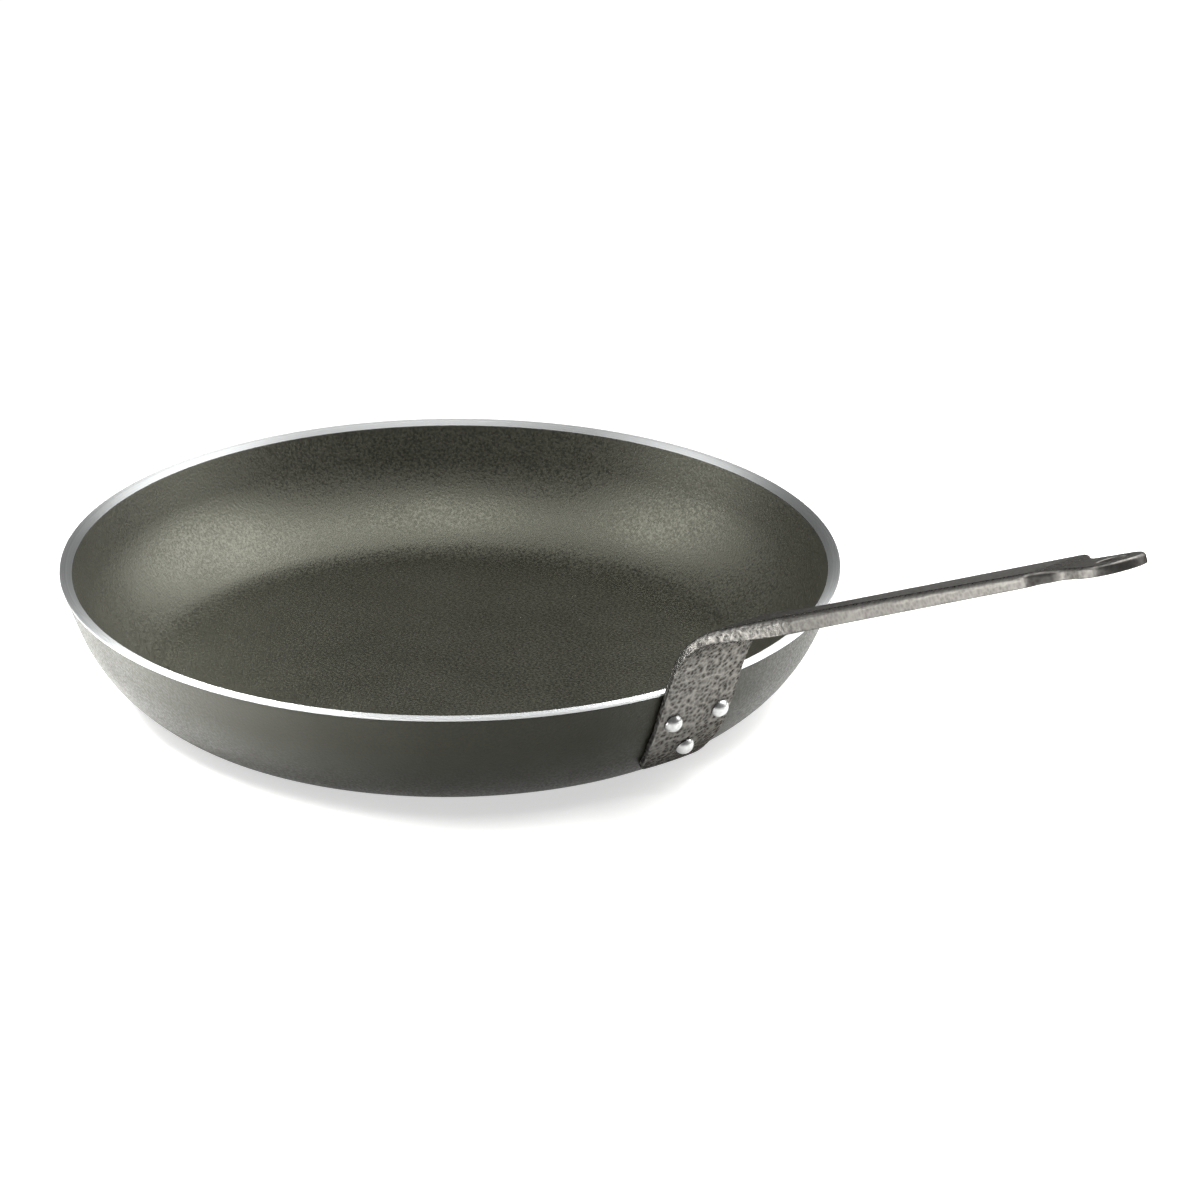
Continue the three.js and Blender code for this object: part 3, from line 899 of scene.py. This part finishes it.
def make_camera(stage):
    """A long lens that puts the bowl's middle left of the picture's middle, as the photograph does."""
    picture = 1200
    middle_column, middle_row = 450.4, 588.34
    data = bpy.data.cameras.new("camera")
    data.lens = stage.lens
    data.sensor_width = 36
    focal = stage.lens / data.sensor_width * picture
    right, up, forward = view_axes(stage)
    per_pixel = stage.view_distance / focal
    place = Vector((0, 0, stage.view_height)) - forward * stage.view_distance
    place += right * (picture / 2 - middle_column) * per_pixel
    place += up * (middle_row - picture / 2) * per_pixel
    camera = bpy.data.objects.new("camera", data)
    columns = Matrix((right, up, -forward)).transposed()
    camera.matrix_world = Matrix.Translation(place) @ columns.to_4x4()
    bpy.context.scene.collection.objects.link(camera)
    bpy.context.scene.camera = camera


def make_lamp(name, azimuth, elevation, width, height, watts):
    """A soft box that faces the bowl from an azimuth and an elevation."""
    data = bpy.data.lights.new(name, "AREA")
    data.shape = "RECTANGLE"
    data.size, data.size_y = width, height
    data.energy = watts
    lamp = bpy.data.objects.new(name, data)
    out = Vector((
        math.sin(azimuth) * math.cos(elevation),
        -math.cos(azimuth) * math.cos(elevation),
        math.sin(elevation),
    ))
    lamp.location = out * LAMP_REACH
    lamp.rotation_euler = out.to_track_quat("Z", "Y").to_euler()
    bpy.context.scene.collection.objects.link(lamp)


def make_wash(name, stage, across, ahead, watts):
    """A gridded soft box that faces straight down, so that it mostly lights the floor beside the pan."""
    data = bpy.data.lights.new(name, "AREA")
    data.shape = "RECTANGLE"
    data.size, data.size_y = WASH_WIDTH, WASH_LENGTH
    data.spread = WASH_SPREAD
    data.energy = watts
    lamp = bpy.data.objects.new(name, data)
    right, _, forward = view_axes(stage)
    front = Vector((-forward.x, -forward.y, 0)).normalized()
    lamp.location = right * across + front * ahead + Vector((0, 0, WASH_HEIGHT))
    lamp.rotation_euler = (0, 0, stage.view_azimuth)
    bpy.context.scene.collection.objects.link(lamp)


def make_lamps(stage):
    """A tall soft box on each side of the pan, one overhead, and a small one over the floor each side.

    Each large one is set by its degrees round from the camera and up from level, its width, its height
    and its power. Each small one is set by its distances to the right of the pan and towards the camera.
    """
    for name, swing, rise, width, height, watts in (
        ("left_box", -90, 36, 0.7, 1.1, stage.left_power),
        ("right_box", 108, 40, 1.0, 1.1, stage.right_power),
        ("top_box", 10, 74, 0.8, 0.7, stage.top_power),
    ):
        azimuth = stage.view_azimuth + math.radians(swing)
        make_lamp(name, azimuth, math.radians(rise), width, height, watts)
    make_wash("left_wash", stage, -0.38, 0.2, stage.left_wash_power)
    make_wash("right_wash", stage, 0.38, 0.04, stage.right_wash_power)


def make_world(stage):
    """Level light of the room round the soft boxes, the same from every side."""
    world = bpy.data.worlds.new("studio")
    world.use_nodes = True
    tree = world.node_tree
    tree.nodes.clear()
    back = add(tree, "ShaderNodeBackground", {"Color": (1, 1, 1, 1), "Strength": stage.ambient})
    add(tree, "ShaderNodeOutputWorld", {"Surface": back.outputs[0]})
    bpy.context.scene.world = world


class FRYINGPAN_OT_stage(bpy.types.Operator):
    """Make the camera, the lamps, the world and the floor"""

    bl_idname = "fryingpan.stage"
    bl_label = "Make Studio"

    def execute(self, context):
        stage = context.scene.frying_pan.stage
        context.scene.view_settings.view_transform = "Standard"
        make_camera(stage)
        make_lamps(stage)
        make_world(stage)
        make_floor(stage)
        return {"FINISHED"}


class FRYINGPAN_OT_body(bpy.types.Operator):
    """Make the bare aluminium bowl"""

    bl_idname = "fryingpan.body"
    bl_label = "Make Bowl"

    def execute(self, context):
        bowl = context.scene.frying_pan.bowl
        patches = [(turned(body_profile(bowl), TURN_STEPS), False, True)]
        make_piece("bowl", patches, turned_aluminium(bowl), "pan_body")
        return {"FINISHED"}


class FRYINGPAN_OT_lining(bpy.types.Operator):
    """Make the non-stick lining"""

    bl_idname = "fryingpan.lining"
    bl_label = "Make Lining"

    def execute(self, context):
        bowl = context.scene.frying_pan.bowl
        patches = [(turned(lining_profile(bowl), TURN_STEPS), False, True)]
        make_piece("lining", patches, nonstick_lining(bowl), "nonstick_lining")
        return {"FINISHED"}


class FRYINGPAN_OT_coat(bpy.types.Operator):
    """Make the outer coat"""

    bl_idname = "fryingpan.coat"
    bl_label = "Make Outer Coat"

    def execute(self, context):
        bowl = context.scene.frying_pan.bowl
        patches = [(turned(coat_profile(bowl), TURN_STEPS), True, True)]
        make_piece("coat", patches, grey_outer_coat(bowl), "outer_coat")
        return {"FINISHED"}


class FRYINGPAN_OT_handle(bpy.types.Operator):
    """Make the pressed handle"""

    bl_idname = "fryingpan.handle"
    bl_label = "Make Handle"

    def execute(self, context):
        pan = context.scene.frying_pan
        patches = handle_patches(pan.bowl, pan.handle)
        make_piece("pressed_handle", patches, hammered_enamel(pan.handle), "handle")
        return {"FINISHED"}


class FRYINGPAN_OT_rivets(bpy.types.Operator):
    """Make the three rivets"""

    bl_idname = "fryingpan.rivets"
    bl_label = "Make Rivets"

    def execute(self, context):
        pan = context.scene.frying_pan
        wall = wall_of(pan.bowl)
        surface = turned(rivet_profile(pan.bowl, pan.handle, pan.rivets), RIVET_STEPS)
        material = upset_aluminium(pan.rivets)
        for node, (along, across) in rivet_places(pan.bowl, pan.handle, pan.rivets).items():
            patches = [(set_in_wall(surface, wall, along, across), False, True)]
            make_piece(f"{node}_fine", patches, material, node)
        return {"FINISHED"}


class FRYINGPAN_PT_panel(bpy.types.Panel):
    """The pan's settings and the steps that make it"""

    bl_label = "Frying Pan"
    bl_space_type = "VIEW_3D"
    bl_region_type = "UI"
    bl_category = "Frying Pan"

    def draw(self, context):
        pan = context.scene.frying_pan
        for title, settings in (
            ("Bowl", pan.bowl), ("Handle", pan.handle), ("Rivets", pan.rivets), ("Studio", pan.stage)
        ):
            box = self.layout.box()
            box.label(text=title)
            for name in settings.__annotations__:
                box.prop(settings, name)
        for step in STEPS:
            self.layout.operator(step.bl_idname)


STEPS = (
    FRYINGPAN_OT_stage,
    FRYINGPAN_OT_body,
    FRYINGPAN_OT_lining,
    FRYINGPAN_OT_coat,
    FRYINGPAN_OT_handle,
    FRYINGPAN_OT_rivets,
)
SETTINGS = (BowlSettings, HandleSettings, RivetSettings, StageSettings, PanSettings)
CLASSES = (*SETTINGS, *STEPS, FRYINGPAN_PT_panel)


def register():
    """Adds the classes and the pan's settings to Blender."""
    for each in CLASSES:
        bpy.utils.register_class(each)
    bpy.types.Scene.frying_pan = PointerProperty(type=PanSettings)


def unregister():
    """Takes the settings and the classes out again."""
    del bpy.types.Scene.frying_pan
    for each in reversed(CLASSES):
        bpy.utils.unregister_class(each)


def main():
    """Makes everything."""
    register()
    bpy.ops.fryingpan.stage()
    bpy.ops.fryingpan.body()
    bpy.ops.fryingpan.lining()
    bpy.ops.fryingpan.coat()
    bpy.ops.fryingpan.handle()
    bpy.ops.fryingpan.rivets()


if __name__ == "__main__":
    main()
